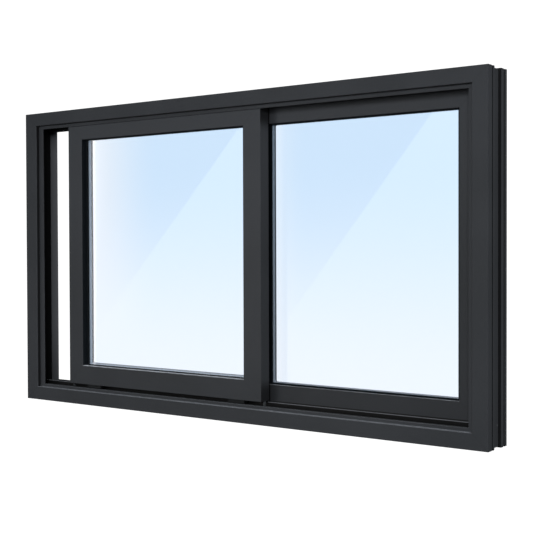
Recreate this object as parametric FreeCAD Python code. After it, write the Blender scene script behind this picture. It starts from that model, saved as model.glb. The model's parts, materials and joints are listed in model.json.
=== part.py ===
import FreeCAD, Part
import math
import os

from FreeCAD import Vector

# Horizontal sliding window: a two-track aluminium frame with two glazed sashes.
# X runs along the sill to the right, Y runs from the front face to the back, Z is up.
# The origin lies on the flat front foot of the sill, midway along it.
# Sections are drawn with two measures: in from the outer edge, and back from the face.

# Outer frame
FRAME_WIDTH = 1810.0
FRAME_HEIGHT = 1030.0
FRAME_ARRIS = 0.7
FACE_INNER_ARRIS = 2.0
LIP_ARRIS = 0.8

# Front face of the frame and the narrow lip set back behind it
LEFT_FACE_WIDTH = 54.0
RIGHT_FACE_WIDTH = 47.5
SILL_FACE_WIDTH = 46.5
HEAD_FACE_WIDTH = 45.0
FACE_DEPTH = 15.0
LEFT_LIP_WIDTH = 75.0
RIGHT_LIP_WIDTH = 64.5
SILL_LIP_WIDTH = 56.0
HEAD_LIP_WIDTH = 57.0
LIP_THICKNESS = 3.0

# Ridges and grooves round the outside, counted from the front and from the back
FRONT_FOOT = 24.0
FRONT_GROOVE_WIDTH = 6.0
FRONT_GROOVE_DEPTH = 3.5
FRONT_RIDGE = 10.0
WALL_RECESS = 4.0
DEEP_GROOVE_WIDTH = 10.0
DEEP_GROOVE_DEPTH = 9.0
BACK_RIDGE = 16.0
BACK_GROOVE_WIDTH = 8.0
BACK_GROOVE_DEPTH = 3.0
BACK_FOOT = 14.0
GROOVE_RADIUS = 0.6

# Channels the sashes run in, and the web between them
CHANNEL_FLOOR = 28.0
CHANNEL_RADIUS = 1.5
RUNNING_GAP = 2.0
WEB_THICKNESS = 4.0
SILL_WEB_HEIGHT = 36.0
HEAD_WEB_HEIGHT = 18.0
RIGHT_STEP_SETBACK = 6.0
RIGHT_STEP_HEIGHT = 16.0
LEFT_FLANGE_SETBACK = 23.0
LEFT_FLANGE_HEIGHT = 34.0
LEFT_FLANGE_THICKNESS = 3.0
BACK_LIP_THICKNESS = 6.0
BACK_LIP_WIDTH = 36.0
HEAD_BACK_LIP_EXTRA = 20.0
SILL_BACK_LIP_EXTRA = 24.0

# Sashes: where they stand along the frame
SASH_DEPTH = 42.0
SASH_HEAD_GAP = 12.0
LEFT_SASH_TRACK_GAP = 14.5
RIGHT_SASH_TRACK_GAP = 8.5
OPEN_WIDTH = 200.0
MEETING_START = 51.5
MEETING_OVERLAP = 88.5
SASH_JAMB_GAP = 10.0

# Sash section: sloped front wall, glazing pocket and thin back wall
LEFT_TOP_RAIL_WIDTH = 64.5
LEFT_BOTTOM_RAIL_WIDTH = 65.0
RIGHT_TOP_RAIL_WIDTH = 59.0
RIGHT_BOTTOM_RAIL_WIDTH = 56.0
STILE_WIDTH = 65.0
MEETING_STILE_WIDTH = 68.0
SASH_ARRIS = 0.8
REVEAL_ARRIS = 2.0
FRONT_WALL = 17.0
WALL_SLOPE = 2.0
BACK_WALL = 2.5
POCKET_DEPTH = 11.0
RAIL_GROOVE_DEPTH = 27.0
RAIL_GROOVE_SETBACK = 12.0
RAIL_GROOVE_WIDTH = 18.0
MITRE_REACH = 8.0

# Double glazing
PANE_THICKNESS = 4.0
PANE_EDGE_GAP = 4.0
GASKET_BITE = 3.0
FRONT_GASKET_THICKNESS = 1.5
FRONT_GASKET_SIDE_REACH = 13.0
FRONT_GASKET_SILL_REACH = 4.0
FRONT_GASKET_HEAD_REACH = 2.5
BACK_GASKET_THICKNESS = 1.0
BACK_GASKET_REACH = 1.5
SPACER_SIDE_REACH = 17.0
SPACER_SILL_REACH = 11.0
SPACER_HEAD_REACH = 2.5
SPACER_BITE = 5.0

# Tracks on the sill and guides under the head
TRACK_HEIGHT = 26.0
TRACK_THICKNESS = 4.0
TRACK_BASE_WIDTH = 16.0
TRACK_BASE_THICKNESS = 2.5
TRACK_FILLET = 1.5
TRACK_END_GAP = 0.2
GUIDE_THICKNESS = 4.0
GUIDE_BITE = 12.0
GUIDE_TIP_GAP = 2.0
GUIDE_SIDE_GAP = 0.5

# Rollers and their housings
WHEEL_SEAT_GAP = 0.1
WHEEL_RUNNING_RADIUS = 13.0
WHEEL_FLANGE = 2.0
WHEEL_WIDTH = 8.0
WHEEL_TREAD_GAP = 0.2
WHEEL_FLANGE_SLOPE = 0.8
WHEEL_CROWN = 0.5
AXLE_RADIUS = 3.0
AXLE_GAP = 0.1
AXLE_END_INSET = 1.0
HOUSING_LENGTH = 64.0
HOUSING_TRACK_GAP = 2.0
HOUSING_RADIUS = 4.0
HOUSING_SLOT_GAP = 1.5
HOUSING_SIDE_GAP = 0.5
HOUSING_INSET = 76.0

# Guide blocks in the top rail and corner guides under the stiles
BLOCK_LENGTH = 40.0
BLOCK_STAND_OUT = 4.0
BLOCK_INSET = 76.0
CORNER_GUIDE_LENGTH = 5.0
CORNER_GUIDE_WIDTH = 8.0
CORNER_GUIDE_OVERLAP = 3.5
CORNER_GUIDE_SLOT_TOP_GAP = 2.0
CORNER_GUIDE_RADIUS = 1.0

# Places worked out from the sizes above
HALF_WIDTH = FRAME_WIDTH / 2.0
ORIGIN_DEPTH = FRONT_FOOT / 2.0
LIP_BACK = FACE_DEPTH + LIP_THICKNESS
LEFT_SASH_FACE = LIP_BACK + RUNNING_GAP
WEB_FACE = LEFT_SASH_FACE + SASH_DEPTH + RUNNING_GAP
RIGHT_SASH_FACE = WEB_FACE + WEB_THICKNESS + RUNNING_GAP
BACK_LIP_FACE = RIGHT_SASH_FACE + SASH_DEPTH + RUNNING_GAP
FRAME_DEPTH = BACK_LIP_FACE + BACK_LIP_THICKNESS
RIGHT_STEP_FACE = RIGHT_SASH_FACE + RIGHT_STEP_SETBACK
LEFT_FLANGE_FACE = RIGHT_SASH_FACE + LEFT_FLANGE_SETBACK
LEFT_FLOOR_X = CHANNEL_FLOOR - HALF_WIDTH
RIGHT_FLOOR_X = HALF_WIDTH - CHANNEL_FLOOR
TRACK_TOP = CHANNEL_FLOOR + TRACK_HEIGHT
LEFT_SASH_BOTTOM = TRACK_TOP + LEFT_SASH_TRACK_GAP
RIGHT_SASH_BOTTOM = TRACK_TOP + RIGHT_SASH_TRACK_GAP
SASH_TOP = FRAME_HEIGHT - CHANNEL_FLOOR - SASH_HEAD_GAP
RUNNING_LINE = RAIL_GROOVE_SETBACK + RAIL_GROOVE_WIDTH / 2.0
WHEEL_HEIGHT = TRACK_TOP + WHEEL_SEAT_GAP + WHEEL_RUNNING_RADIUS
GUIDE_TIP = SASH_TOP - GUIDE_BITE
FACE_WIDTHS = (LEFT_FACE_WIDTH, RIGHT_FACE_WIDTH, SILL_FACE_WIDTH, HEAD_FACE_WIDTH)
LIP_WIDTHS = (LEFT_LIP_WIDTH, RIGHT_LIP_WIDTH, SILL_LIP_WIDTH, HEAD_LIP_WIDTH)
SIDES = ("left", "right", "bottom", "top")
FRONT_GASKET_REACHES = (FRONT_GASKET_SIDE_REACH, FRONT_GASKET_SIDE_REACH,
                        FRONT_GASKET_SILL_REACH, FRONT_GASKET_HEAD_REACH)
SPACER_REACHES = (SPACER_SIDE_REACH, SPACER_SIDE_REACH, SPACER_SILL_REACH, SPACER_HEAD_REACH)


def save(shape, name):
    """Write one finished piece as a STEP file."""
    shape.exportStep(os.path.join("parts", name + ".step"))


def box(x0, x1, d0, d1, z0, z1):
    """Block between two corners, with depth counted from the front face."""
    corner = Vector(x0, d0 - ORIGIN_DEPTH, z0)
    return Part.makeBox(x1 - x0, d1 - d0, z1 - z0, corner)


def rounded_wire(corners, place):
    """Closed outline with a rounded corner wherever a radius is given.

    corners holds (first, second, radius) in the plane of the section.
    place turns a pair of section measures into a point in space.
    """
    edges = []
    starts = []
    ends = []
    count = len(corners)
    for index, (a, b, radius) in enumerate(corners):
        here = Vector(a, b, 0)
        before = Vector(corners[index - 1][0], corners[index - 1][1], 0) - here
        after = Vector(corners[(index + 1) % count][0], corners[(index + 1) % count][1], 0) - here
        before.normalize()
        after.normalize()
        if radius == 0.0:
            starts.append(here)
            ends.append(here)
            continue
        half = before.getAngle(after) / 2.0
        reach = radius / math.tan(half)
        middle = before + after
        middle.normalize()
        bulge = here + middle * (radius / math.sin(half) - radius)
        starts.append(here + before * reach)
        ends.append(here + after * reach)
        points = [place(point.x, point.y) for point in (starts[-1], bulge, ends[-1])]
        edges.append(Part.Arc(*points).toShape())
    for index in range(count):
        start = ends[index]
        end = starts[(index + 1) % count]
        if start.distanceToPoint(end) > 1e-6:
            edges.append(Part.makeLine(place(start.x, start.y), place(end.x, end.y)))
    return Part.Wire(Part.__sortEdges__(edges))


def run_section(side, rect, corners, inset=0.0):
    """Extrude a section along one side of a rectangle.

    The section is drawn inwards from that side and back from the face.
    inset shortens the length at both ends.
    """
    left, right, bottom, top = rect
    places = {
        "left": lambda u, d: Vector(left + u, d - ORIGIN_DEPTH, bottom + inset),
        "right": lambda u, d: Vector(right - u, d - ORIGIN_DEPTH, bottom + inset),
        "bottom": lambda u, d: Vector(left + inset, d - ORIGIN_DEPTH, bottom + u),
        "top": lambda u, d: Vector(left + inset, d - ORIGIN_DEPTH, top - u),
    }
    if side in ("left", "right"):
        travel = Vector(0, 0, top - bottom - 2.0 * inset)
    else:
        travel = Vector(right - left - 2.0 * inset, 0, 0)
    face = Part.Face(rounded_wire(corners, places[side]))
    return face.extrude(travel)


def mitre_block(side, rect, steps, depth):
    """Block that keeps one side of a rectangle up to its mitres.

    Each step holds widths from the left, right, bottom and top edges. Every
    mitre runs from its outer corner through the corners that the steps give.
    """
    left, right, bottom, top = rect
    corners = {
        "bl": [(left, bottom)] + [(left + l, bottom + b) for l, r, b, t in steps],
        "br": [(right, bottom)] + [(right - r, bottom + b) for l, r, b, t in steps],
        "tl": [(left, top)] + [(left + l, top - t) for l, r, b, t in steps],
        "tr": [(right, top)] + [(right - r, top - t) for l, r, b, t in steps],
    }
    ends = {"left": ("bl", "tl"), "right": ("br", "tr"), "bottom": ("bl", "br"), "top": ("tl", "tr")}
    first, last = ends[side]
    outline = corners[first] + corners[last][::-1]
    start = depth[0] - ORIGIN_DEPTH
    points = [Vector(x, start, z) for x, z in outline]
    face = Part.Face(Part.makePolygon(points + points[:1]))
    return face.extrude(Vector(0, depth[1] - depth[0], 0))


def strip(start, width, face, thickness, radius):
    """Section of a plain strip standing inwards, rounded at its inner edge."""
    return [
        (start, face, 0.0),
        (start + width, face, radius),
        (start + width, face + thickness, radius),
        (start, face + thickness, 0.0),
    ]


def frame_section(side):
    """Section of one side of the frame: outer ridges, face, lip and channel."""
    r = GROOVE_RADIUS
    face_width = FACE_WIDTHS[SIDES.index(side)]
    lip_width = LIP_WIDTHS[SIDES.index(side)]
    front_groove = FRONT_FOOT + FRONT_GROOVE_WIDTH
    recess = front_groove + FRONT_RIDGE
    back_groove = FRAME_DEPTH - BACK_FOOT - BACK_GROOVE_WIDTH
    ridge = back_groove - BACK_RIDGE
    deep = ridge - DEEP_GROOVE_WIDTH
    return [
        (0.0, 0.0, FRAME_ARRIS),
        (0.0, FRONT_FOOT, r),
        (FRONT_GROOVE_DEPTH, FRONT_FOOT, r),
        (FRONT_GROOVE_DEPTH, front_groove, r),
        (0.0, front_groove, r),
        (0.0, recess, r),
        (WALL_RECESS, recess, r),
        (WALL_RECESS, deep, r),
        (DEEP_GROOVE_DEPTH, deep, r),
        (DEEP_GROOVE_DEPTH, ridge, r),
        (0.0, ridge, r),
        (0.0, back_groove, r),
        (BACK_GROOVE_DEPTH, back_groove, r),
        (BACK_GROOVE_DEPTH, back_groove + BACK_GROOVE_WIDTH, r),
        (0.0, back_groove + BACK_GROOVE_WIDTH, r),
        (0.0, FRAME_DEPTH, FRAME_ARRIS),
        (BACK_LIP_WIDTH, FRAME_DEPTH, FRAME_ARRIS),
        (BACK_LIP_WIDTH, BACK_LIP_FACE, FRAME_ARRIS),
        (CHANNEL_FLOOR, BACK_LIP_FACE, CHANNEL_RADIUS),
        (CHANNEL_FLOOR, LIP_BACK, CHANNEL_RADIUS),
        (lip_width, LIP_BACK, LIP_ARRIS),
        (lip_width, FACE_DEPTH, LIP_ARRIS),
        (face_width, FACE_DEPTH, LIP_ARRIS),
        (face_width, 0.0, FACE_INNER_ARRIS),
    ]


def frame_member(side):
    """One mitred side of the frame with the strips that only it carries."""
    rect = (-HALF_WIDTH, HALF_WIDTH, 0.0, FRAME_HEIGHT)
    floors = (CHANNEL_FLOOR, CHANNEL_FLOOR, CHANNEL_FLOOR, CHANNEL_FLOOR)
    block = mitre_block(side, rect, [floors, FACE_WIDTHS, LIP_WIDTHS], (-1.0, FRAME_DEPTH + 1.0))
    pieces = [run_section(side, rect, frame_section(side)).common(block)]
    if side == "left":
        flange = strip(CHANNEL_FLOOR, LEFT_FLANGE_HEIGHT, LEFT_FLANGE_FACE,
                       LEFT_FLANGE_THICKNESS, FRAME_ARRIS)
        pieces.append(run_section(side, rect, flange, CHANNEL_FLOOR))
    elif side == "right":
        step = strip(CHANNEL_FLOOR, RIGHT_STEP_HEIGHT, RIGHT_STEP_FACE,
                     BACK_LIP_FACE - RIGHT_STEP_FACE, FRAME_ARRIS)
        pieces.append(run_section(side, rect, step, CHANNEL_FLOOR))
    else:
        extra = HEAD_BACK_LIP_EXTRA if side == "top" else SILL_BACK_LIP_EXTRA
        web_height = HEAD_WEB_HEIGHT if side == "top" else SILL_WEB_HEIGHT
        back_lip = strip(BACK_LIP_WIDTH - 2.0 * FRAME_ARRIS, extra + 2.0 * FRAME_ARRIS,
                         BACK_LIP_FACE, BACK_LIP_THICKNESS, FRAME_ARRIS)
        web = strip(CHANNEL_FLOOR, web_height, WEB_FACE, WEB_THICKNESS, FRAME_ARRIS)
        pieces.append(run_section(side, rect, back_lip, BACK_LIP_WIDTH))
        pieces.append(run_section(side, rect, web, CHANNEL_FLOOR))
    return pieces[0].multiFuse(pieces[1:]).removeSplitter()


def grown(widths, extra):
    """The four side widths, each made larger by the same amount."""
    return tuple(width + extra for width in widths)


def reached(widths, reaches):
    """The four side widths, each made larger by its own amount."""
    return tuple(width + reach for width, reach in zip(widths, reaches))


def sash_section(width, face, grooved):
    """Section of a rail or stile: sloped reveal, glazing pocket, back wall."""
    back = face + SASH_DEPTH
    wall = face + FRONT_WALL
    pocket_end = back - BACK_WALL
    groove_start = face + RAIL_GROOVE_SETBACK
    groove_end = groove_start + RAIL_GROOVE_WIDTH
    corners = [(0.0, face, SASH_ARRIS)]
    if grooved:
        corners += [
            (0.0, groove_start, 0.0),
            (RAIL_GROOVE_DEPTH, groove_start, 0.0),
            (RAIL_GROOVE_DEPTH, groove_end, 0.0),
            (0.0, groove_end, 0.0),
        ]
    corners += [
        (0.0, back, SASH_ARRIS),
        (width, back, SASH_ARRIS),
        (width, pocket_end, 0.0),
        (width - POCKET_DEPTH, pocket_end, 0.0),
        (width - POCKET_DEPTH, wall, 0.0),
        (width + WALL_SLOPE, wall, 0.0),
        (width, face, REVEAL_ARRIS),
    ]
    return corners


def sash_member(side, rect, widths, face):
    """One mitred rail or stile."""
    width = widths[SIDES.index(side)]
    grooved = side in ("bottom", "top")
    steps = [widths, grown(widths, MITRE_REACH)]
    block = mitre_block(side, rect, steps, (face - 1.0, face + SASH_DEPTH + 1.0))
    return run_section(side, rect, sash_section(width, face, grooved)).common(block)


def ring(rect, outer, inner, start, end):
    """Rectangular ring between two sets of widths in from a rectangle."""
    left, right, bottom, top = rect
    solid = box(left + outer[0], right - outer[1], start, end, bottom + outer[2], top - outer[3])
    hole = box(left + inner[0], right - inner[1], start - 1.0, end + 1.0,
               bottom + inner[2], top - inner[3])
    return solid.cut(hole)


def pane(rect, widths, start):
    """One sheet of glass reaching into the glazing pocket."""
    left, right, bottom, top = rect
    edge = grown(widths, PANE_EDGE_GAP - POCKET_DEPTH)
    return box(left + edge[0], right - edge[1], start, start + PANE_THICKNESS,
               bottom + edge[2], top - edge[3])


def glazing(name, rect, widths, face):
    """Both panes, the spacer between them and the two gaskets."""
    front_gasket = face + FRONT_WALL
    front_pane = front_gasket + FRONT_GASKET_THICKNESS
    spacer = front_pane + PANE_THICKNESS
    pocket_end = face + SASH_DEPTH - BACK_WALL
    back_gasket = pocket_end - BACK_GASKET_THICKNESS
    back_pane = back_gasket - PANE_THICKNESS
    bite = grown(widths, -GASKET_BITE)
    save(pane(rect, widths, front_pane), name + "_front_pane")
    save(pane(rect, widths, back_pane), name + "_back_pane")
    save(ring(rect, grown(widths, -SPACER_BITE), reached(widths, SPACER_REACHES),
              spacer, back_pane), name + "_spacer_bar")
    save(ring(rect, bite, reached(widths, FRONT_GASKET_REACHES),
              front_gasket, front_pane), name + "_front_gasket")
    save(ring(rect, bite, grown(widths, BACK_GASKET_REACH),
              back_gasket, pocket_end), name + "_back_gasket")


def roller(x, depth):
    """Grooved wheel that straddles the rounded top of its track."""
    half = WHEEL_WIDTH / 2.0
    tread = TRACK_THICKNESS / 2.0 + WHEEL_TREAD_GAP
    rim = WHEEL_RUNNING_RADIUS + WHEEL_FLANGE
    corners = [
        (AXLE_RADIUS + AXLE_GAP, -half, 0.0),
        (rim, -half, WHEEL_CROWN),
        (rim, -tread - WHEEL_FLANGE_SLOPE, 0.0),
        (WHEEL_RUNNING_RADIUS, -tread, 0.0),
        (WHEEL_RUNNING_RADIUS, tread, 0.0),
        (rim, tread + WHEEL_FLANGE_SLOPE, 0.0),
        (rim, half, WHEEL_CROWN),
        (AXLE_RADIUS + AXLE_GAP, half, 0.0),
    ]
    face = Part.Face(rounded_wire(corners, lambda radius, along: Vector(radius, along, 0)))
    turned = face.revolve(Vector(0, 0, 0), Vector(0, 1, 0), 360.0)
    turned.translate(Vector(x, depth - ORIGIN_DEPTH, WHEEL_HEIGHT))
    return turned


def roller_housing(x, depth, sash_bottom):
    """Housing in the bottom rail, open below for its wheel, with the axle."""
    half_length = HOUSING_LENGTH / 2.0
    half_width = RAIL_GROOVE_WIDTH / 2.0
    low = TRACK_TOP + HOUSING_TRACK_GAP
    high = sash_bottom + RAIL_GROOVE_DEPTH
    corners = [
        (x - half_length, low, HOUSING_RADIUS),
        (x + half_length, low, HOUSING_RADIUS),
        (x + half_length, high, 0.0),
        (x - half_length, high, 0.0),
    ]
    front = depth - half_width - ORIGIN_DEPTH
    face = Part.Face(rounded_wire(corners, lambda a, b: Vector(a, front, b)))
    body = face.extrude(Vector(0, RAIL_GROOVE_WIDTH, 0))
    slot_reach = WHEEL_RUNNING_RADIUS + WHEEL_FLANGE + HOUSING_SLOT_GAP
    slot_side = WHEEL_WIDTH / 2.0 + HOUSING_SIDE_GAP
    slot = box(x - slot_reach, x + slot_reach, depth - slot_side, depth + slot_side,
               low - 1.0, WHEEL_HEIGHT + slot_reach)
    axle_start = Vector(x, front + AXLE_END_INSET, WHEEL_HEIGHT)
    axle = Part.makeCylinder(AXLE_RADIUS, RAIL_GROOVE_WIDTH - 2.0 * AXLE_END_INSET,
                             axle_start, Vector(0, 1, 0))
    return body.cut(slot).fuse(axle).removeSplitter()


def guide_block(x, depth):
    """Block in the top rail, slotted to run along the head guide."""
    half_length = BLOCK_LENGTH / 2.0
    half_width = RAIL_GROOVE_WIDTH / 2.0
    low = SASH_TOP - RAIL_GROOVE_DEPTH
    high = SASH_TOP + BLOCK_STAND_OUT
    body = box(x - half_length, x + half_length, depth - half_width, depth + half_width, low, high)
    slot_side = GUIDE_THICKNESS / 2.0 + GUIDE_SIDE_GAP
    slot = box(x - half_length - 1.0, x + half_length + 1.0,
               depth - slot_side, depth + slot_side, GUIDE_TIP - GUIDE_TIP_GAP, high + 1.0)
    return body.cut(slot)


def corner_guide(start, end, depth, sash_bottom):
    """Shoe under the end of a stile that straddles the track."""
    low = TRACK_TOP - CORNER_GUIDE_OVERLAP
    half_width = CORNER_GUIDE_WIDTH / 2.0
    corners = [
        (start, low, CORNER_GUIDE_RADIUS),
        (end, low, CORNER_GUIDE_RADIUS),
        (end, sash_bottom, 0.0),
        (start, sash_bottom, 0.0),
    ]
    front = depth - half_width - ORIGIN_DEPTH
    face = Part.Face(rounded_wire(corners, lambda a, b: Vector(a, front, b)))
    body = face.extrude(Vector(0, CORNER_GUIDE_WIDTH, 0))
    slot_side = TRACK_THICKNESS / 2.0 + GUIDE_SIDE_GAP
    slot = box(start - 1.0, end + 1.0, depth - slot_side, depth + slot_side,
               low - 1.0, TRACK_TOP + CORNER_GUIDE_SLOT_TOP_GAP)
    return body.cut(slot)


def sash(name, start, end, bottom, rails, face, meeting_side):
    """All the pieces of one sash."""
    rect = (start, end, bottom, SASH_TOP)
    left = MEETING_STILE_WIDTH if meeting_side == "left" else STILE_WIDTH
    right = MEETING_STILE_WIDTH if meeting_side == "right" else STILE_WIDTH
    widths = (left, right, *rails)
    jamb_side = "left" if meeting_side == "right" else "right"
    save(sash_member("top", rect, widths, face), name + "_top_rail")
    save(sash_member("bottom", rect, widths, face), name + "_bottom_rail")
    save(sash_member(jamb_side, rect, widths, face), name + "_jamb_stile")
    save(sash_member(meeting_side, rect, widths, face), name + "_meeting_stile")
    glazing(name, rect, widths, face)
    line = face + RUNNING_LINE
    for place, edge, inward in (("left", start, 1.0), ("right", end, -1.0)):
        housing_x = edge + inward * (HOUSING_INSET + HOUSING_LENGTH / 2.0)
        block_x = edge + inward * (BLOCK_INSET + BLOCK_LENGTH / 2.0)
        near, far = sorted((edge, edge + inward * CORNER_GUIDE_LENGTH))
        save(roller_housing(housing_x, line, bottom), name + "_" + place + "_roller_housing")
        save(roller(housing_x, line), name + "_" + place + "_roller")
        save(guide_block(block_x, line), name + "_" + place + "_guide_block")
        save(corner_guide(near, far, line, bottom), name + "_" + place + "_corner_guide")


def flanged_rib(depth, ends, root, direction, height, thickness, rounded_tip):
    """Straight rib on a flat flange, with filleted roots and a tip."""
    start, end = ends
    half_rib = thickness / 2.0
    half_base = TRACK_BASE_WIDTH / 2.0
    shoulder = root + direction * TRACK_BASE_THICKNESS
    tip = root + direction * height
    tip_radius = half_rib * 0.999 if rounded_tip else LIP_ARRIS
    corners = [
        (depth - half_base, root, 0.0),
        (depth - half_base, shoulder, LIP_ARRIS),
        (depth - half_rib, shoulder, TRACK_FILLET),
        (depth - half_rib, tip, tip_radius),
        (depth + half_rib, tip, tip_radius),
        (depth + half_rib, shoulder, TRACK_FILLET),
        (depth + half_base, shoulder, LIP_ARRIS),
        (depth + half_base, root, 0.0),
    ]
    wire = rounded_wire(corners, lambda d, z: Vector(start, d - ORIGIN_DEPTH, z))
    return Part.Face(wire).extrude(Vector(end - start, 0, 0))


def track(depth, ends):
    """Running track on the sill."""
    return flanged_rib(depth, ends, CHANNEL_FLOOR, 1.0, TRACK_HEIGHT, TRACK_THICKNESS, True)


def head_guide(depth, ends):
    """Guide fin hanging from the head into the grooved top rail."""
    ceiling = FRAME_HEIGHT - CHANNEL_FLOOR
    drop = ceiling - GUIDE_TIP
    return flanged_rib(depth, ends, ceiling, -1.0, drop, GUIDE_THICKNESS, False)


def build():
    """Write every piece of the window."""
    save(frame_member("top"), "frame_head")
    save(frame_member("bottom"), "frame_sill")
    save(frame_member("left"), "frame_jamb_left")
    save(frame_member("right"), "frame_jamb_right")
    front_ends = (LEFT_FLOOR_X + TRACK_END_GAP, RIGHT_FLOOR_X - TRACK_END_GAP)
    back_ends = (front_ends[0] + LEFT_FLANGE_HEIGHT, front_ends[1] - RIGHT_STEP_HEIGHT)
    save(track(LEFT_SASH_FACE + RUNNING_LINE, front_ends), "front_track")
    save(track(RIGHT_SASH_FACE + RUNNING_LINE, back_ends), "back_track")
    save(head_guide(LEFT_SASH_FACE + RUNNING_LINE, front_ends), "front_head_guide")
    save(head_guide(RIGHT_SASH_FACE + RUNNING_LINE, back_ends), "back_head_guide")
    left_start = OPEN_WIDTH - HALF_WIDTH
    left_end = MEETING_START + MEETING_OVERLAP
    right_end = RIGHT_FLOOR_X - RIGHT_STEP_HEIGHT - SASH_JAMB_GAP
    left_rails = (LEFT_BOTTOM_RAIL_WIDTH, LEFT_TOP_RAIL_WIDTH)
    right_rails = (RIGHT_BOTTOM_RAIL_WIDTH, RIGHT_TOP_RAIL_WIDTH)
    sash("left_sash", left_start, left_end, LEFT_SASH_BOTTOM, left_rails, LEFT_SASH_FACE, "right")
    sash("right_sash", MEETING_START, right_end, RIGHT_SASH_BOTTOM, right_rails,
         RIGHT_SASH_FACE, "left")


os.makedirs("parts", exist_ok=True)
build()
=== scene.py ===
import json
import math

import bpy
import numpy as np
from mathutils import Matrix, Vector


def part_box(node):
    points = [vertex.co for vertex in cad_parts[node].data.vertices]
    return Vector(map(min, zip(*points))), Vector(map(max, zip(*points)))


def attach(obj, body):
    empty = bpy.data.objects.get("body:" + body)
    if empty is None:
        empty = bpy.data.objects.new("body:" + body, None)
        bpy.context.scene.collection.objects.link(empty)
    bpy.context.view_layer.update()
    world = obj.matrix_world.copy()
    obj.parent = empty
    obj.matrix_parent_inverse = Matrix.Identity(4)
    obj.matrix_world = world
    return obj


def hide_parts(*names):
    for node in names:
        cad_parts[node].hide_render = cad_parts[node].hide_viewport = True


# Dresses the horizontal sliding window: powder-coated profiles, double glazing,
# seals and running gear, on a pale floor in soft studio light.
# Depths are counted back from the front face, which lies FACE_Y in front of the origin.

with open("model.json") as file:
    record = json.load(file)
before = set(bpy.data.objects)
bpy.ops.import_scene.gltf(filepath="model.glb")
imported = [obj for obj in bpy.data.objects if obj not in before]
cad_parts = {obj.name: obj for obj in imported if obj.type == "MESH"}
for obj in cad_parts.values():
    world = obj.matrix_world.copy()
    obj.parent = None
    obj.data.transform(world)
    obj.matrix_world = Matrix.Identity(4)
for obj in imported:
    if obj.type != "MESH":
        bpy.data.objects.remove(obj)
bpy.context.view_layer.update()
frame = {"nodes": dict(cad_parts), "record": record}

# Measures are in millimetres up to the stage section. Four measures that belong together
# are for the left, right, bottom and top side.
MM = 0.001
FACE_Y = -12.0 * MM
SASHES = ("left_sash", "right_sash")
FRONT_WALL = 17.0
HALF_WIDTH = 905.0
HEIGHT = 1030.0
FRAME_RECT = (-HALF_WIDTH, HALF_WIDTH, 0.0, HEIGHT)
FRAME_FACES = (54.0, 47.5, 46.5, 45.0)

# Each sash: its outer sides and the widths of its members.
SASH_SHAPES = {
    "left_sash": ((-705.0, 140.0, 68.5, 990.0), (65.0, 68.0, 65.0, 64.5)),
    "right_sash": ((51.5, 851.0, 62.5, 990.0), (68.0, 65.0, 56.0, 59.0)),
}

# How far seals and spacer bars reach into the opening of a sash.
GASKET_REACH = {"left_sash": (12.0, 13.0, 2.8, 2.5), "right_sash": (16.0, 10.6, 1.8, 2.5)}
BACK_REACH = (1.5, 1.5, 1.5, 1.5)
SPACER_REACH = {"left_sash": (22.8, 17.0, 9.5, 2.5), "right_sash": (20.0, 12.5, 6.0, 2.5)}
# The black wedge lining of the reveals is painted shade: where it starts and how far it reaches.
WEDGE_START = (-0.5, -0.5, -3.0, -0.5)
SHADE_LINING_SIDE = 2.9
SHADE_LINING_FOOT = {"left_sash": 3.1, "right_sash": 4.4}
CORNER_STEPS = 9

# Pile strip under the front sash: its section as depth and as height from the sash's foot,
# and each wave of its tips as size and radians per millimetre.
PILE_SECTION = ((56.4, -0.1), (56.4, -6.5), (57.6, -8.9), (58.4, -8.9), (59.6, -6.5),
                (59.6, -0.1))
PILE_END = 5.0
PILE_TIP = -8.0
PILE_RINGS = 360
PILE_WAVES = ((0.25, 1.9), (0.20, 0.53))

# Masks of the finishes: each pair is the start and the end of a fade.
WALL_SKIN = (20.0, 24.0)
CHANNEL_END = (47.0, 51.0)
LIP_BACK = (18.2, 19.5)
FLANGE_FRONT = (91.5, 92.6)
WEB_TOP = (61.5, 62.5)
WEB_BACK = (65.0, 66.0)
FLANGE_SPAN = ((-878.0, -877.0), (-842.0, -841.0))
FLANGE_DEPTH = ((92.4, 92.8), (96.5, 97.0))
FLANGE_FOOT = (20.0, 300.0)
FLANGE_HEAD = (890.0, 975.0)
CREST_SPAN = ((62.2, 62.8), (64.5, 65.0))
CREST_DEPTH = ((62.5, 63.5), (68.5, 69.5))
JAMB_EDGE = ((845.0, 850.0), (858.3, 858.9))
JAMB_LENGTH = ((30.0, 34.0), (1000.0, 1004.0))
HEAD_EDGE = ((978.0, 982.0), (985.8, 986.6))
HEAD_END = (866.0, 870.0)
REVEAL_DEPTH = ((2.2, 3.6), (14.0, 14.9))
SASH_GAP = (137.0, 140.5)
SASH_SHADE = (140.0, 180.0)
SASH_FOOT = (66.5, 69.0)
SASH_END = (139.0, 139.6)
GUIDE_DEPTH = (22.0, 24.0)
GUIDE_FOOT = (961.0, 964.5)
END_HEAD = (902.0, 950.0)
END_FOOT = (94.0, 146.0)
TOP_LIGHT_HEIGHTS = (320.0, 980.0)
TOP_WALL = (995.0, 1010.0)
TOP_DEPTH = (1.0, 3.0)
TRACK_CREST = ((52.6, 53.6), (56.0, 57.0))
JOINT_LINE = (0.10, 0.45)
JOINT_REACH = (85.0, 90.0)

# Outer wall grooves: front, back and strength of the painted shade.
OUTER_GROOVES = ((24.0, 30.0, 0.60), (40.0, 72.0, 0.18), (72.0, 82.0, 0.75), (98.0, 106.0, 0.55))
GROOVE_SKIN = ((-0.5, 0.2), (9.0, 9.6))

COAT_DARK = (0.0266, 0.0292, 0.0329, 1.0)
COAT_LIGHT = (0.0319, 0.0347, 0.0392, 1.0)
DUST_AND_HIGHLIGHT_TINT = (0.142, 0.152, 0.168, 1.0)
FLANGE_HIGHLIGHT_TINT = (0.100, 0.105, 0.115, 1.0)
PAINTED_SHADE_LEVEL = 0.003
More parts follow.
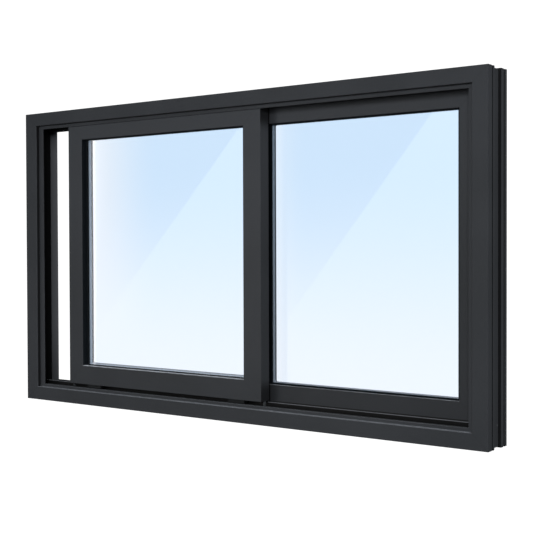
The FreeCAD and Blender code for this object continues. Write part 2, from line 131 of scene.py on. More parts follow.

# Glass tints with a painted reflection of the sky, and for each pane's left edge: its x, how
# far and how strongly the tint pales beside it, and the strength of its clear rim. The paling
# and the rim beside the edge are a painted glow. A rim has two parts: a fade and its strength.
GLASS_AND_SKY_DEEP = (0.888, 0.943, 0.9945, 1.0)
GLASS_AND_SKY_PALE = (0.946, 0.966, 0.9910, 1.0)
WHITE = (1.0, 1.0, 1.0, 1.0)
TINT_HEIGHTS = (100.0, 820.0)
LEFT_EDGE = (-640.0, 340.0, 1.00, 0.0)
RIGHT_EDGE = (119.5, 140.0, 0.35, 1.0)
EDGE_START = 10.0
RIM_NEAR = ((6.0, 18.0), 0.75)
RIM_BESIDE = ((30.0, 55.0), 0.22)
FACE_ON_SHARE = 0.04


# ---------------------------------------------------------------- shader maths

class Wire:
    """One socket of a finish; arithmetic on it adds Math nodes."""

    def __init__(self, finish, socket):
        self.finish = finish
        self.socket = socket

    def math(self, operation, *others):
        return self.finish.node("ShaderNodeMath", {"operation": operation}, self, *others)

    def __add__(self, other):
        return self.math("ADD", other)

    __radd__ = __add__

    def __sub__(self, other):
        return self.math("SUBTRACT", other)

    def __rsub__(self, other):
        return self.finish.node("ShaderNodeMath", {"operation": "SUBTRACT"}, other, self)

    def __mul__(self, other):
        return self.math("MULTIPLY", other)

    __rmul__ = __mul__

    def __abs__(self):
        return self.math("ABSOLUTE")

    def least(self, other):
        return self.math("MINIMUM", other)

    def most(self, other):
        return self.math("MAXIMUM", other)

    def sine(self):
        return self.math("SINE")

    def fade(self, start, end):
        """0 at start, 1 at end, smooth between them."""
        settings = {"interpolation_type": "SMOOTHSTEP"}
        return self.finish.node("ShaderNodeMapRange", settings, self, start, end)


class Finish:
    """A material under construction."""

    def __init__(self, name):
        self.material = bpy.data.materials.new(name)
        self.material.use_nodes = True
        self.tree = self.material.node_tree
        self.tree.nodes.clear()
        self.out = self.tree.nodes.new("ShaderNodeOutputMaterial")

    def node(self, kind, settings, *values, output=0, **named):
        """Add one node: its settings first, then the values or wires of its sockets."""
        made = self.tree.nodes.new(kind)
        for key, value in settings.items():
            setattr(made, key, value)
        pairs = list(zip(made.inputs, values))
        pairs += [(made.inputs[key.replace("_", " ")], value) for key, value in named.items()]
        self.fill(pairs)
        return Wire(self, made.outputs[output])

    def fill(self, pairs):
        """Link each wire to its socket and set each constant on its socket."""
        for socket, value in pairs:
            if isinstance(value, Wire):
                self.tree.links.new(value.socket, socket)
            else:
                socket.default_value = value

    def place(self):
        """Object coordinates, in metres in the frame of the part."""
        return self.node("ShaderNodeTexCoord", {}, output="Object")

    def axes(self, vector=None):
        """The three parts of a vector, one wire each."""
        split = self.node("ShaderNodeSeparateXYZ", {}, vector or self.place())
        outputs = split.socket.node.outputs
        return [Wire(self, outputs[axis]) for axis in ("X", "Y", "Z")]

    def stretch(self, x, y, z):
        """Object coordinates with each axis scaled."""
        return self.node("ShaderNodeMapping", {}, self.place(), Scale=(x, y, z))

    def noise(self, scale, detail=2.0, rough=0.5, vector=None):
        return self.node("ShaderNodeTexNoise", {}, Vector=vector or self.place(),
                         Scale=scale, Detail=detail, Roughness=rough)

    def blend(self, factor, first, second):
        """Mix two colours."""
        made = self.tree.nodes.new("ShaderNodeMix")
        made.data_type = "RGBA"
        self.fill(zip((made.inputs[0], made.inputs[6], made.inputs[7]), (factor, first, second)))
        return Wire(self, made.outputs[2])

    def bump(self, height, distance, strength=1.0):
        return self.node("ShaderNodeBump", {}, Height=height, Distance=distance, Strength=strength)

    def surface(self, **named):
        return self.node("ShaderNodeBsdfPrincipled", {}, **named)

    def done(self, shader):
        self.tree.links.new(shader.socket, self.out.inputs["Surface"])
        return self.material


def grey(value, warm=0.0):
    """Linear grey with a small shift towards blue when warm is below 0."""
    return (value * (1.0 + warm), value, value * (1.0 - warm), 1.0)


# ---------------------------------------------------------------- finishes

def scaled(colour, factor):
    """Colour made lighter or darker by a factor."""
    return tuple(part * factor for part in colour[:3]) + (1.0,)


def up_facing(finish):
    """1 on surfaces that face up, 0 elsewhere."""
    normal = finish.node("ShaderNodeNewGeometry", {}, output="Normal")
    return finish.axes(normal)[2].fade(0.35, 0.90)


def part_axes(f):
    """Across, back from the front face, and up, in metres."""
    x, y, z = f.axes()
    return x, y - FACE_Y, z


def past(wire, ends):
    """0 before a fade and 1 past it; its two ends are in millimetres."""
    return wire.fade(ends[0] * MM, ends[1] * MM)


def band(wire, span):
    """1 between a first and a second fade, 0 outside them."""
    return past(wire, span[0]) * (1.0 - past(wire, span[1]))


def from_edge(x, z):
    """Distance in from the nearest outer side of the frame."""
    return (HALF_WIDTH * MM - abs(x)).least(z).least(HEIGHT * MM - z)


def channel_painted_shade(f):
    """Share of painted shade in the channels: deep between the face and the back lip, where shade
    falls.
    """
    x, depth, z = part_axes(f)
    edge = from_edge(x, z)
    channel = band(edge, (WALL_SKIN, CHANNEL_END)) * (1.0 - past(depth, FLANGE_FRONT))
    web = (1.0 - past(z, WEB_TOP)) * (1.0 - past(depth, WEB_BACK)) * past(edge, WALL_SKIN)
    dark = channel.most(web) * past(depth, LIP_BACK)
    return dark * (0.84 + f.noise(30.0, 4.0) * 0.14)


def groove_painted_shade(f):
    """Share of painted shade in the grooves of the outer walls, darkest in the deep one."""
    x, depth, z = part_axes(f)
    share = None
    for start, end, strength in OUTER_GROOVES:
        groove = band(depth, ((start, start + 0.5), (end + 0.3, end + 0.9))) * strength
        share = groove if share is None else share.most(groove)
    return band(from_edge(x, z), GROOVE_SKIN) * share


def flange_painted_highlight(f):
    """Share of painted highlight on the thin flange in the left channel, weaker towards its foot
    and its head, and on the web's crest.
    """
    x, depth, z = part_axes(f)
    flange = band(x, FLANGE_SPAN) * band(depth, FLANGE_DEPTH)
    length = (past(z, FLANGE_FOOT) * 0.7 + 0.3) * (1.0 - past(z, FLANGE_HEAD) * 0.75)
    return (flange * length).most(band(z, CREST_SPAN) * band(depth, CREST_DEPTH))


def reveal_shade(f):
    """Share of painted shade on the inner edges of the front faces of the jambs and head."""
    x, depth, z = part_axes(f)
    jambs = band(abs(x), JAMB_EDGE) * band(z, JAMB_LENGTH)
    head = band(z, HEAD_EDGE) * (1.0 - past(abs(x), HEAD_END))
    return jambs.most(head) * band(depth, REVEAL_DEPTH) * 0.85


def overlap_shade(f):
    """Share of painted shade on the rear sash: shadow behind the front sash and along its foot."""
    x, _, z = part_axes(f)
    gap = (1.0 - past(x, SASH_GAP)) * 0.85
    soft = (1.0 - past(x, SASH_SHADE)) * 0.35
    return gap.most(soft).most((1.0 - past(z, SASH_FOOT)) * 0.75)


def guide_shade(f):
    """Share of painted shade on the end of the front sash: under the head guide and at both ends.
    """
    x, depth, z = part_axes(f)
    guide = past(depth, GUIDE_DEPTH) * past(z, GUIDE_FOOT) * 0.9
    head = past(z, END_HEAD) * 0.78
    foot = (1.0 - past(z, END_FOOT)) * 0.72
    return past(x, SASH_END) * guide.most(head).most(foot)


def powder_coat(name, dark, light, rough, mitres, shades, painted_top_light=None):
    """Satin powder coat: fine orange peel, faint cloudiness, dust on ledges, mitre joints.
    The dust on upward faces also paints the highlights on ledges and arrises.

    Each mitre is a corner x, z and a direction x, z. The joint is drawn where the
    distance to the line through the corner is under a third of a millimetre. Each
    shade gives the share of painted shade. A coat with painted top light pales
    towards the top, and its dust is thicker and lighter as a painted highlight.
    """
    f = Finish(name)
    clouds = f.noise(3.0, 3.0)
    grain = f.noise(900.0, 2.0, 0.6)
    peel = f.noise(420.0, 1.0, 0.4)
    fleck = f.noise(2600.0, 1.0)
    colour = f.blend(clouds.fade(0.3, 0.7), dark, light)
    # Painted light: the coat pales towards the top.
    if painted_top_light:
        colour = f.blend(past(part_axes(f)[2], TOP_LIGHT_HEIGHTS), colour, painted_top_light)
    colour = f.blend(fleck.fade(0.58, 0.72) * 0.35, colour, grey(0.085, -0.03))
    # Dust on upward faces, which also paints the highlights on ledges and arrises.
    dust = up_facing(f) * (f.noise(60.0, 4.0).fade(0.30, 0.75) * 0.3 + 0.32)
    x, depth, z = part_axes(f)
    dust = dust * (1.0 - past(z, TOP_WALL) * past(depth, TOP_DEPTH) * 0.7)
    # On the sashes the dust is thicker and lighter, as a painted highlight.
    if painted_top_light:
        dust = dust * 1.6
    colour = f.blend(dust, colour, scaled(DUST_AND_HIGHLIGHT_TINT, 1.9) if painted_top_light else DUST_AND_HIGHLIGHT_TINT)
    roughness = rough + (grain - 0.5) * 0.10 + (clouds - 0.5) * 0.08 + dust * 0.3
    height = peel * 0.7 + grain * 0.3
    # Each shade mask paints shade in a near-black colour.
    for shade in shades:
        colour = f.blend(shade(f), colour, grey(PAINTED_SHADE_LEVEL))
    # Painted highlight on the flange and on the web's crest.
    if not painted_top_light:
        colour = f.blend(flange_painted_highlight(f), colour, FLANGE_HIGHLIGHT_TINT)
    joint = None
    for cx, cz, dx, dz in mitres:
        length = math.hypot(dx, dz)
        across = abs((x - cx) * (dz / length) - (z - cz) * (dx / length))
        reach = abs(x - cx).most(abs(z - cz))
        line = (1.0 - past(across, JOINT_LINE)) * (1.0 - past(reach, JOINT_REACH))
        joint = line if joint is None else joint.most(line)
    colour = f.blend(joint * 0.7, colour, grey(0.012))
    height = height - joint * 3.0
    normal = f.bump(height, 0.04 * MM, 0.6)
    return f.done(f.surface(Base_Color=colour, Roughness=roughness, Normal=normal,
                            Specular_IOR_Level=0.3))


def track_coat():
    """Powder coat worn through to bright aluminium along the crest of the tracks, the bright crest
    also a painted highlight.
    """
    f = Finish("track_coat_worn")
    scuff = f.noise(1.0, 4.0, 0.6, f.stretch(14.0, 420.0, 420.0))
    # Worn crest, painted lighter as a highlight.
    wear_and_highlight = (band(part_axes(f)[2], TRACK_CREST) * (0.55 + scuff * 0.6)).least(1.0)
    colour = f.blend(wear_and_highlight, grey(0.010, -0.15), grey(0.10, -0.06))
    metal = wear_and_highlight * 0.8
    roughness = 0.46 - wear_and_highlight * 0.14 + scuff * 0.08
    normal = f.bump(scuff + f.noise(700.0) * 0.6, 0.03 * MM, 0.5)
    return f.done(f.surface(Base_Color=colour, Roughness=roughness, Metallic=metal, Normal=normal))


def float_glass(name, gloss, edge, reach, strength, rim):
    """Clear float glass: tinted transmission under a reflection that grows at grazing views.

    The reflected share is 4 per cent face on plus the fifth power of the view's
    slant. Faint wipe marks vary it. The blue tint is a painted reflection of the sky on
    the glass's own tint, deepest at the top. It pales towards the foot and, over the
    reach, towards the edge, where a rim may be clear as a painted glow.
    """
    f = Finish(name)
    x, _, z = part_axes(f)
    # Painted reflection of the sky: the tint pales towards the foot and beside the left edge.
    foot = 1.0 - past(z, TINT_HEIGHTS)
    side = (1.0 - past(x, (edge + EDGE_START, edge + reach))) * strength
    pale = 1.0 - (1.0 - foot) * (1.0 - side)
    deep_tint = f.node("ShaderNodeBsdfTransparent", {}, Color=GLASS_AND_SKY_DEEP)
    pale_tint = f.node("ShaderNodeBsdfTransparent", {}, Color=GLASS_AND_SKY_PALE)
    see_through = f.node("ShaderNodeMixShader", {}, pale, deep_tint, pale_tint)
    # Painted glow: a clear rim beside the pane's left edge.
    if rim:
        clear = f.node("ShaderNodeBsdfTransparent", {}, Color=WHITE)
        beside_edge = x - edge * MM
        near, beside = [(1.0 - past(beside_edge, ends)) * level
                        for ends, level in (RIM_NEAR, RIM_BESIDE)]
        see_through = f.node("ShaderNodeMixShader", {}, (near + beside) * rim, see_through, clear)
    smear = f.noise(1.0, 3.0, 0.55, f.stretch(9.0, 1.0, 3.0))
    mirror = f.surface(Base_Color=WHITE, Metallic=1.0,
                       Roughness=0.01 + smear.fade(0.45, 0.8) * 0.02)
    slant = f.node("ShaderNodeLayerWeight", {}, Blend=0.5, output="Facing")
    share = slant.math("POWER", 5.0) * (1.0 - FACE_ON_SHARE) + FACE_ON_SHARE
    share = share * (0.94 + smear * 0.10) * gloss
    return f.done(f.node("ShaderNodeMixShader", {}, share, see_through, mirror))


def gasket_rubber():
    """Matt black glazing rubber with extrusion lines and a little dust."""
    f = Finish("gasket_rubber_black")
    lines = f.noise(1.0, 2.0, 0.5, f.stretch(25.0, 2500.0, 25.0))
    dust = f.noise(140.0, 4.0).fade(0.45, 0.8)
    colour = f.blend(dust * 0.35, grey(0.005, -0.30), grey(0.018, -0.18))
    normal = f.bump(lines * 0.6 + f.noise(1500.0) * 0.5, 0.04 * MM, 0.6)
    return f.done(f.surface(Base_Color=colour, Roughness=0.55 + dust * 0.2, Normal=normal))


def spacer_metal():
    """Matt blue-grey spacer bar with two rows of pin holes, drawn along its own length; its front
    is painted light as a highlight.
    """
    f = Finish("spacer_bar_metal")
    uv = f.node("ShaderNodeUVMap", {"uv_map": "run"})
    along, across = f.axes(uv)[:2]
    step = along * (2.0 * math.pi / 4.0)
    hole_along = step.sine().fade(0.80, 0.97)
    row = abs(abs(across) - 2.6)
    hole = hole_along * (1.0 - row.fade(0.25, 0.5))
    brushed = f.noise(1.0, 3.0, 0.6, f.node("ShaderNodeMapping", {}, uv, Scale=(0.2, 9.0, 1.0)))
    colour = f.blend(brushed, (0.20, 0.23, 0.27, 1.0), (0.27, 0.31, 0.35, 1.0))
    # Painted highlight along the front of the bar.
    colour = f.blend(1.0 - across.fade(-1.8, 0.2), colour, (0.60, 0.67, 0.74, 1.0))
    colour = f.blend(hole, colour, grey(0.02))
    normal = f.bump(brushed * 0.4 - hole * 4.0, 0.05 * MM, 0.7)
    return f.done(f.surface(Base_Color=colour, Metallic=0.55, Roughness=0.36 + brushed * 0.14,
                            Normal=normal))


def edge_sealant():
    """Soft black sealant with a slightly wavy skin."""
    f = Finish("edge_sealant_black")
    wave = f.noise(90.0, 3.0)
    colour = f.blend(wave, grey(0.008), grey(0.016))
    return f.done(f.surface(Base_Color=colour, Roughness=0.42 + wave * 0.2,
                            Normal=f.bump(wave, 0.2 * MM, 0.5)))


def brush_pile():
    """Black brush pile: fine upright fibres, matt, with paler tips."""
    f = Finish("brush_pile_black")
    fibre = f.noise(1.0, 3.0, 0.7, f.stretch(2200.0, 900.0, 90.0))
    colour = f.blend(fibre.fade(0.35, 0.7), grey(0.004), grey(0.014))
    return f.done(f.surface(Base_Color=colour, Roughness=0.80 + fibre * 0.15,
                            Normal=f.bump(fibre, 0.3 * MM, 0.8)))


def moulded_plastic(name, dark, light, rough):
    """Moulded plastic: fine spark texture, faint flow marks and scuffs."""
    f = Finish(name)
    spark = f.noise(1800.0, 2.0, 0.6)
    flow = f.noise(1.0, 3.0, 0.5, f.stretch(40.0, 15.0, 120.0))
    scuff = f.noise(1.0, 4.0, 0.7, f.stretch(300.0, 60.0, 30.0)).fade(0.6, 0.75)
    colour = f.blend(flow, dark, light)
    colour = f.blend(scuff * 0.3, colour, grey(light[1] * 1.8))
    normal = f.bump(spark + scuff * 0.5, 0.03 * MM, 0.6)
    return f.done(f.surface(Base_Color=colour, Roughness=rough + spark * 0.15, Normal=normal))


# ---------------------------------------------------------------- meshes

def add_piece(name, points, faces, finish, uv=None):
    """Make a mesh piece that rides on the window from arrays of points and quads."""
    mesh = bpy.data.meshes.new(name)
    mesh.from_pydata(points.tolist(), [], faces.tolist())
    if uv is not None:
        layer = mesh.uv_layers.new(name="run")
        layer.data.foreach_set("uv", uv.astype(np.float32).ravel())
    mesh.update()
    piece = bpy.data.objects.new(name, mesh)
    bpy.context.scene.collection.objects.link(piece)
    mesh.materials.append(finish)
    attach(piece, "root")
    return piece


def rounded_loop(left, right, bottom, top, radius, steps):
    """Points round a rectangle with rounded corners.

    Each corner is a quarter circle: centre plus radius times cosine and sine of
    an angle that grows by equal steps.
    """
    centres = np.array([
        (right - radius, bottom + radius),
        (right - radius, top - radius),
        (left + radius, top - radius),
        (left + radius, bottom + radius),
    ])
    starts = np.radians([-90.0, 0.0, 90.0, 180.0])
    sweep = np.linspace(0.0, math.pi / 2.0, steps)
    angle = (starts[:, None] + sweep[None, :]).ravel()
    centre = np.repeat(centres, steps, axis=0)
    return centre + radius * np.stack([np.cos(angle), np.sin(angle)], axis=1)


def sweep_ring(name, outer, inner, radii, profile, finish, steps=CORNER_STEPS):
    """Carry a closed profile round between two rounded rectangles.

    A point is the outer loop's point plus a share of the way to the matching
    point of the inner loop; the profile's first measure is that share and its
    second is the depth. The map's first value is the distance travelled in
    millimetres and its second runs across the profile.
    """
    start = rounded_loop(*outer, radii[0], steps)
    end = rounded_loop(*inner, radii[1], steps)
    profile = np.asarray(profile, float)
    step = np.linalg.norm(np.roll(end, -1, axis=0) - end, axis=1)
    travelled = np.concatenate([[0.0], np.cumsum(step)])
    count, across = len(start), len(profile)
    planar = start[:, None, :] + (end - start)[:, None, :] * profile[None, :, :1]
    depth = np.broadcast_to(profile[None, :, 1] + FACE_Y / MM, (count, across))
    points = np.stack([planar[:, :, 0], depth, planar[:, :, 1]], axis=2).reshape(-1, 3) * MM
    i = np.arange(count)[:, None]
    j = np.arange(across)[None, :]
    following, beside = (i + 1) % count, (j + 1) % across
    faces = np.stack([i * across + j, following * across + j,
                      following * across + beside, i * across + beside], axis=2).reshape(-1, 4)
    side = profile[:, 1] - profile[:, 1].mean()
    u0 = np.broadcast_to(travelled[:-1][:, None], (count, across))
    u1 = np.broadcast_to(travelled[1:][:, None], (count, across))
    v0 = np.broadcast_to(side[None, :], (count, across))
    v1 = np.broadcast_to(np.roll(side, -1)[None, :], (count, across))
    uv = np.stack([np.stack([u0, v0], 2), np.stack([u1, v0], 2),
                   np.stack([u1, v1], 2), np.stack([u0, v1], 2)], axis=2).reshape(-1, 2)
    return add_piece(name, points, faces, finish, uv)


def node_rect(node):
    """Left, right, bottom and top of a CAD node, in millimetres."""
    low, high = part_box(node)
    return low[0] / MM, high[0] / MM, low[2] / MM, high[2] / MM


def node_depth(node):
    """Front and back depth of a CAD node from the front face, in millimetres."""
    low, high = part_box(node)
    return (low[1] - FACE_Y) / MM, (high[1] - FACE_Y) / MM


def smooth(piece, angle=40.0):
    """Smooth shading with creases kept."""
    piece.data.polygons.foreach_set("use_smooth", [True] * len(piece.data.polygons))
    piece.data.update()
    edges = piece.modifiers.new("crease", "EDGE_SPLIT")
    edges.split_angle = math.radians(angle)
    return piece


def inset(rect, widths):
    """Rectangle moved in by its own width on each side."""
    left, right, bottom, top = rect
    wl, wr, wb, wt = widths
    return left + wl, right - wr, bottom + wb, top - wt


def dress_glazing(sash, finishes):
    """Wedge gaskets in the reveals, lined black as painted shade, and a spacer bar with sealed
    shoulders.
    """
    rect, widths = SASH_SHAPES[sash]
    opening = inset(rect, widths)
    gasket = sash + "_front_gasket"
    d0, d1 = node_depth(gasket)
    outer = node_rect(gasket)
    inner = inset(opening, GASKET_REACH[sash])
    lip = [(0.0, d1), (0.0, d0), (0.80, d0), (0.88, d0 - 0.5), (0.95, d0 - 0.5), (1.0, d0 + 0.1),
           (1.0, d1)]
    piece = smooth(sweep_ring(gasket + "_lip", outer, inner, (2.0, 3.0), lip, finishes["gasket"]))
    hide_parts(gasket)
    face = d0 - FRONT_WALL
    # The black wedge lining covers the reveal as painted shade.
    sides = inset(opening, WEDGE_START)
    lining = inset(opening, (SHADE_LINING_SIDE, SHADE_LINING_SIDE, SHADE_LINING_FOOT[sash], SHADE_LINING_SIDE))
    wedge = [(0.0, face + 2.0), (0.30, face + 1.5), (0.45, face + 3.0), (0.62, face + 9.0),
             (0.85, face + 14.0), (1.0, d0 - 0.6), (1.0, d0), (0.0, d0)]
    smooth(sweep_ring(gasket + "_wedge", sides, lining, (0.5, 2.0), wedge, finishes["gasket"]))
    gasket = sash + "_back_gasket"
    d0, d1 = node_depth(gasket)
    lip = [(0.0, d1), (0.0, d0), (1.0, d0), (1.0, d1 + 0.3), (0.75, d1 + 0.9), (0.35, d1)]
    piece = smooth(sweep_ring(gasket + "_lip", node_rect(gasket), inset(opening, BACK_REACH),
                              (2.0, 2.0), lip, finishes["gasket"]))
    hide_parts(gasket)
    bar = sash + "_spacer_bar"
    d0, d1 = node_depth(bar)
    outer, inner = node_rect(bar), inset(opening, SPACER_REACH[sash])
    metal = [(0.30, d0 + 1.2), (0.40, d0 + 0.4), (0.90, d0 + 0.4), (1.0, d0 + 1.6),
             (1.0, d1 - 1.6), (0.90, d1 - 0.4), (0.40, d1 - 0.4), (0.30, d1 - 1.2)]
    piece = smooth(sweep_ring(bar + "_channel", outer, inner, (4.0, 4.0), metal[::-1],
                              finishes["spacer"]))
    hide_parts(bar)
    seal = [(0.0, d0), (0.55, d0), (0.60, d0 + 0.2), (0.55, d0 + 0.4), (0.40, d0 + 0.4),
            (0.30, d0 + 1.2), (0.30, d1 - 1.2), (0.40, d1 - 0.4), (0.93, d1 - 0.4),
            (0.95, d1 - 0.2), (0.93, d1), (0.0, d1)]
    sweep_ring(bar + "_edge_seal", outer, inner, (4.0, 4.0), seal[::-1], finishes["sealant"])


def dress_pile(finishes):
    """Pile strip under the front sash: a tapered section carried along x, its tips wavering.

    The tips' height is its mean plus two sines of x with unlike wavelengths.
    """
    left, right, bottom, _ = SASH_SHAPES["left_sash"][0]
    section = np.array(PILE_SECTION)
    count, across = PILE_RINGS, len(section)
    x = np.linspace(left + PILE_END, right - PILE_END, count)
    tips = sum(size * np.sin(x * pace) for size, pace in PILE_WAVES)
    height = bottom + section[None, :, 1] + tips[:, None] * (section[None, :, 1] < PILE_TIP)
    depth = np.broadcast_to(section[None, :, 0] + FACE_Y / MM, (count, across))
    along = np.broadcast_to(x[:, None], (count, across))
    points = np.stack([along, depth, height], axis=2).reshape(-1, 3) * MM
    i = np.arange(count - 1)[:, None]
    j = np.arange(across)[None, :]
    beside = (j + 1) % across
    faces = np.stack([i * across + j, i * across + beside, (i + 1) * across + beside,
                      (i + 1) * across + j], axis=2).reshape(-1, 4)
    cap = np.array([(0, 1, 4, 5), (1, 2, 3, 4)])
    faces = np.concatenate([faces, cap[:, ::-1], cap + (count - 1) * across])
    add_piece("left_sash_sill_pile", points, faces, finishes["pile"])


# ---------------------------------------------------------------- dress the part

def mitre_lines(rect, widths):
    """Corner and direction of the four mitre joints of a rectangle."""
    left, right, bottom, top = rect
    wl, wr, wb, wt = widths
    lines = [(left, bottom, wl, wb), (right, bottom, -wr, wb), (left, top, wl, -wt),
             (right, top, -wr, -wt)]
    return [tuple(value * MM for value in line) for line in lines]


def dress_nodes(finishes):
    """Give every CAD node its finish."""
    by_slot = {
        "frame_coat": finishes["frame"],
        "track_coat": finishes["track"],
        "spacer_metal": finishes["spacer"],
        "gasket_rubber": finishes["gasket"],
        "housing_plastic": finishes["housing"],
        "roller_nylon": finishes["nylon"],
        "guide_nylon": finishes["guide"],
    }
    slots = {part["node"]: part["material_slot"] for part in frame["record"]["subparts"]}
    for node, thing in frame["nodes"].items():
        finish = by_slot.get(slots[node])
        if slots[node] == "sash_coat":
            finish = finishes["left" if node.startswith("left") else "right"]
        if slots[node] == "glass":
            finish = finishes[node.replace("_sash", "")]
        thing.data.materials.clear()
        thing.data.materials.append(finish)


finishes = {
    # The frame coat carries painted shade in its channels, on its reveals and in its outer
    # grooves.
    "frame": powder_coat("frame_powder_coat", COAT_DARK, COAT_LIGHT, 0.44,
                         mitre_lines(FRAME_RECT, FRAME_FACES),
                         (channel_painted_shade, reveal_shade, groove_painted_shade)),
    # Both sash coats pale towards the top as painted light.
    "left": powder_coat("left_sash_powder_coat", COAT_DARK, COAT_LIGHT, 0.42,
                        mitre_lines(*SASH_SHAPES["left_sash"]), (guide_shade,),
                        scaled(COAT_LIGHT, 1.26)),
    # The rear sash's coat is painted darker than the front sash's, as painted shade.
    "right": powder_coat("right_sash_powder_coat", scaled(COAT_DARK, 0.82),
                         scaled(COAT_LIGHT, 0.82), 0.42,
                         mitre_lines(*SASH_SHAPES["right_sash"]), (overlap_shade,),
                         scaled(COAT_LIGHT, 1.14)),
    "track": track_coat(),
    "left_front_pane": float_glass("float_glass_left_front", 1.0, *LEFT_EDGE),
    "left_back_pane": float_glass("float_glass_left_back", 0.08, *LEFT_EDGE),
    "right_front_pane": float_glass("float_glass_right_front", 1.0, *RIGHT_EDGE),
    "right_back_pane": float_glass("float_glass_right_back", 0.08, *RIGHT_EDGE),
    "spacer": spacer_metal(),
    "gasket": gasket_rubber(),
    "sealant": edge_sealant(),
    "pile": brush_pile(),
    "housing": moulded_plastic("housing_plastic_black", grey(0.006, -0.15),
                               grey(0.011, -0.15), 0.50),
    "nylon": moulded_plastic("roller_nylon_dark", grey(0.022, -0.1), grey(0.032, -0.1), 0.40),
    "guide": moulded_plastic("guide_nylon_grey", grey(0.028, -0.1), grey(0.038, -0.1), 0.42),
}
dress_nodes(finishes)
for sash in SASHES:
    dress_glazing(sash, finishes)
dress_pile(finishes)


# ---------------------------------------------------------------- stage, light and camera

FLOOR_REACH = 12.0
FLOOR_SEEN = 1.10
FLOOR_BOUNCE = 0.04
COOL_WHITE = (0.96, 0.98, 1.0, 1.0)
SOFT_LEVEL = 0.02
GLOSS_LEVEL = 0.05
WHITE_LEVEL = 1.10

# Stage measures are in metres. The cards stand in front of the window, near y = CARD_Y.
CARD_Y = -2.4
CARD_GAP = 0.02
GLARE_LEVEL = 1.0
GLOW_TINT = (1.0, 0.95, 0.91, 1.0)
GLARE_TOP = 0.95
RAMP_REACH = 0.9
WIDE_REACH = 0.20
WIDE_GLOW = {"left_sash": 1.0, "right_sash": 0.0}
EDGE_GLOW = 3.5
EDGE_GLOW_WIDTH = {"left_sash": 0.085, "right_sash": 0.15}
EDGE_GLOW_FULL = 0.6

# On the panes, in millimetres: where the ramp starts from the left side, and x and z of the
# upper and the lower end of the glare's slanted edge.
EDGE_GLOW_START = {"left_sash": 19.0, "right_sash": 0.0}
GLARE_EDGES = {
    "left_sash": (44.0, 925.0, -597.0, 254.0),
    "right_sash": (691.0, 925.0, 119.5, 240.0),
}

# Each lamp: name, place, the point it faces, width, height and power.
LAMPS = (
    ("key", (4.0, -7.0, 2.4), (-0.1, 0.0, 0.5), 2.2, 1.4, 385.0),
    ("front", (0.8, -6.0, 0.9), (0.0, 0.0, 0.5), 2.0, 1.6, 92.0),
    ("fill", (-2.5, -5.0, 1.2), (-0.6, 0.0, 0.5), 1.6, 1.6, 56.0),
    ("side", (3.2, -0.3, 0.9), (0.9, 0.06, 0.5), 0.12, 1.6, 44.0),
    ("top", (0.0, -0.2, 3.4), (0.0, 0.0, 0.5), 2.6, 0.24, 115.0),
    ("back", (-0.6, 6.0, 0.7), (0.0, 0.1, 0.5), 2.2, 1.4, 260.0),
)

CAMERA_PLACE = (2129.18 * MM, -2660.37 * MM + FACE_Y, 548.35 * MM)
CAMERA_TURN = math.radians(36.277)
CAMERA_DIP = math.radians(1.042)
CAMERA_ROLL = math.radians(-0.187)
CAMERA_LENS = 73.17
SENSOR_WIDTH = 36.0


def stage_finish(name, camera_level, bounce_level):
    """Pale floor that the camera sees evenly lit and that sends little light back up."""
    f = Finish(name)
    mottle = f.noise(2.0, 3.0)
    seen = f.node("ShaderNodeEmission", {}, Color=WHITE, Strength=camera_level)
    solid = f.surface(Base_Color=f.blend(mottle, grey(bounce_level), grey(bounce_level * 1.04)),
                      Roughness=0.9)
    ray = f.node("ShaderNodeLightPath", {}, output="Is Camera Ray")
    return f.done(f.node("ShaderNodeMixShader", {}, ray, solid, seen))


def flat_piece(name, corners, finish):
    """One flat face through the corners."""
    mesh = bpy.data.meshes.new(name)
    mesh.from_pydata(corners, [], [tuple(range(len(corners)))])
    piece = bpy.data.objects.new(name, mesh)
    bpy.context.scene.collection.objects.link(piece)
    mesh.materials.append(finish)
    return piece


def add_floor():
    """Flat floor under the sill, which reflections leave out."""
    reach = FLOOR_REACH
    corners = [(-reach, -reach, 0.0), (reach, -reach, 0.0), (reach, reach, 0.0),
               (-reach, reach, 0.0)]
    floor = flat_piece("floor", corners, stage_finish("floor_white", FLOOR_SEEN, FLOOR_BOUNCE))
    floor.visible_glossy = False


def add_card(name, corners, finish):
    """Glowing card that only reflections see."""
    card = flat_piece(name, corners, finish)
    card.visible_camera = False
    card.visible_diffuse = False
    card.visible_shadow = False
    card.visible_transmission = False


def mirrored(x, z, depth):
    """Where the camera's ray to x, z on a pane meets the card plane after reflection."""
    cx, cy, cz = CAMERA_PLACE
    pane_y = depth * MM + FACE_Y
    share = (pane_y - CARD_Y) / (pane_y - cy)
    return x * MM + (x * MM - cx) * share, CARD_Y, z * MM + (z * MM - cz) * share


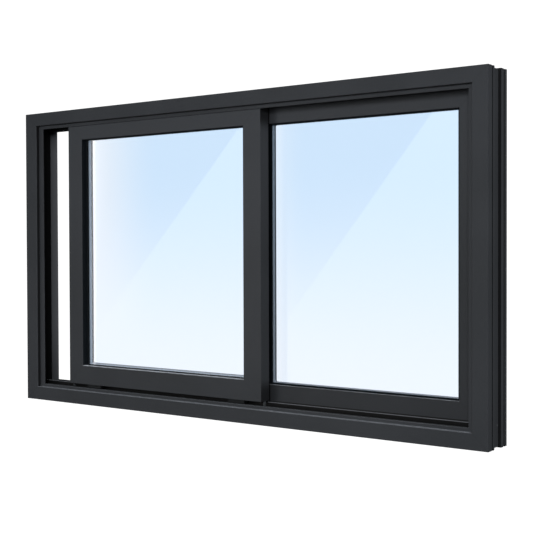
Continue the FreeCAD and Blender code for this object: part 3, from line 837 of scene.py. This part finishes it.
def add_glare(sash, start_x, start_z, end_x, end_z):
    """Two cards whose reflections fill a pane: a soft ramp and, over it, a slanted glare."""
    left, right, bottom, top = inset(*SASH_SHAPES[sash])
    depth = node_depth(sash + "_front_pane")[0]
    low, high = mirrored(left, bottom, depth), mirrored(right, top, depth)
    f = Finish(sash + "_ramp_glow")
    x, _, z = f.axes()
    ramp = 1.0 - z.fade(low[2], low[2] + (high[2] - low[2]) * RAMP_REACH)
    wide = 1.0 - x.fade(low[0], low[0] + (high[0] - low[0]) * WIDE_REACH)
    soft = ramp.most(wide * wide * WIDE_GLOW[sash]) * (1.0 / EDGE_GLOW)
    width = EDGE_GLOW_WIDTH[sash]
    edge = 1.0 - x.fade(low[0] + width * EDGE_GLOW_FULL, low[0] + width)
    glow = f.blend(soft.most(edge * WIDE_GLOW[sash]), grey(0.0), GLOW_TINT)
    ramp_finish = f.done(f.node("ShaderNodeEmission", {}, Color=glow,
                                Strength=GLARE_LEVEL * EDGE_GLOW))
    start = mirrored(left + EDGE_GLOW_START[sash], bottom, depth)[0]
    corners = [(start, low[2]), (high[0], low[2]), (high[0], high[2]), (start, high[2])]
    add_card(sash + "_ramp_card", [(cx, CARD_Y - CARD_GAP, cz) for cx, cz in corners], ramp_finish)
    f = Finish(sash + "_glare_glow")
    glow = f.blend(f.axes()[2].fade(low[2], high[2]), GLOW_TINT, scaled(GLOW_TINT, GLARE_TOP))
    glare_finish = f.done(f.node("ShaderNodeEmission", {}, Color=glow, Strength=GLARE_LEVEL))
    outline = [(start_x, start_z), (end_x, end_z), (end_x, bottom), (right, bottom), (right, top),
               (start_x, top)]
    add_card(sash + "_glare_card", [mirrored(px, pz, depth) for px, pz in outline], glare_finish)


def turned_matrix(x, y, z, place):
    """Matrix with the three axes and the place as its columns."""
    rows = np.column_stack((x, y, z, place))
    return Matrix(np.vstack((rows, (0.0, 0.0, 0.0, 1.0))).tolist())


def add_lamp(name, place, aim, width, height, power):
    """Soft rectangular lamp at place, turned to face aim."""
    data = bpy.data.lights.new(name, "AREA")
    data.shape = "RECTANGLE"
    data.size, data.size_y = width, height
    data.energy = power
    lamp = bpy.data.objects.new(name, data)
    bpy.context.scene.collection.objects.link(lamp)
    z = np.array(place, float) - np.array(aim, float)
    z /= np.linalg.norm(z)
    x = np.cross((0.0, 0.0, 1.0), z)
    x /= np.linalg.norm(x)
    lamp.matrix_world = turned_matrix(x, np.cross(z, x), z, place)
    lamp.visible_glossy = False
    lamp.visible_camera = False


def add_world(soft_level, gloss_level, white_level):
    """White surroundings for the camera, dimmer ones for light and for reflections."""
    world = bpy.data.worlds.new("studio")
    bpy.context.scene.world = world
    world.use_nodes = True
    tree = world.node_tree
    tree.nodes.clear()
    out = tree.nodes.new("ShaderNodeOutputWorld")
    path = tree.nodes.new("ShaderNodeLightPath")

    def glow(tint, level):
        made = tree.nodes.new("ShaderNodeBackground")
        made.inputs["Color"].default_value = tint
        made.inputs["Strength"].default_value = level
        return made.outputs[0]

    def choose(ray, otherwise, chosen):
        mix = tree.nodes.new("ShaderNodeMixShader")
        for wire, socket in zip((path.outputs[ray], otherwise, chosen), mix.inputs):
            tree.links.new(wire, socket)
        return mix.outputs[0]

    lit = choose("Is Glossy Ray", glow(COOL_WHITE, soft_level), glow(COOL_WHITE, gloss_level))
    seen = choose("Is Camera Ray", lit, glow(WHITE, white_level))
    tree.links.new(seen, out.inputs["Surface"])


def add_camera():
    """Camera at the photograph's viewing angle, turned left, dipped and rolled a little."""
    forward = np.array([-math.sin(CAMERA_TURN) * math.cos(CAMERA_DIP),
                        math.cos(CAMERA_TURN) * math.cos(CAMERA_DIP), -math.sin(CAMERA_DIP)])
    right = np.array([math.cos(CAMERA_TURN), math.sin(CAMERA_TURN), 0.0])
    up = np.cross(right, forward)
    x = right * math.cos(CAMERA_ROLL) + up * math.sin(CAMERA_ROLL)
    y = -right * math.sin(CAMERA_ROLL) + up * math.cos(CAMERA_ROLL)
    data = bpy.data.cameras.new("camera")
    data.lens = CAMERA_LENS
    data.sensor_width = SENSOR_WIDTH
    data.clip_start, data.clip_end = 0.05, 100.0
    camera = bpy.data.objects.new("camera", data)
    bpy.context.scene.collection.objects.link(camera)
    camera.matrix_world = turned_matrix(x, y, -forward, CAMERA_PLACE)
    bpy.context.scene.camera = camera


bpy.context.scene.view_settings.view_transform = "Standard"
add_floor()
add_world(SOFT_LEVEL, GLOSS_LEVEL, WHITE_LEVEL)
for lamp in LAMPS:
    add_lamp(*lamp)
for sash, slant in GLARE_EDGES.items():
    add_glare(sash, *slant)
add_camera()
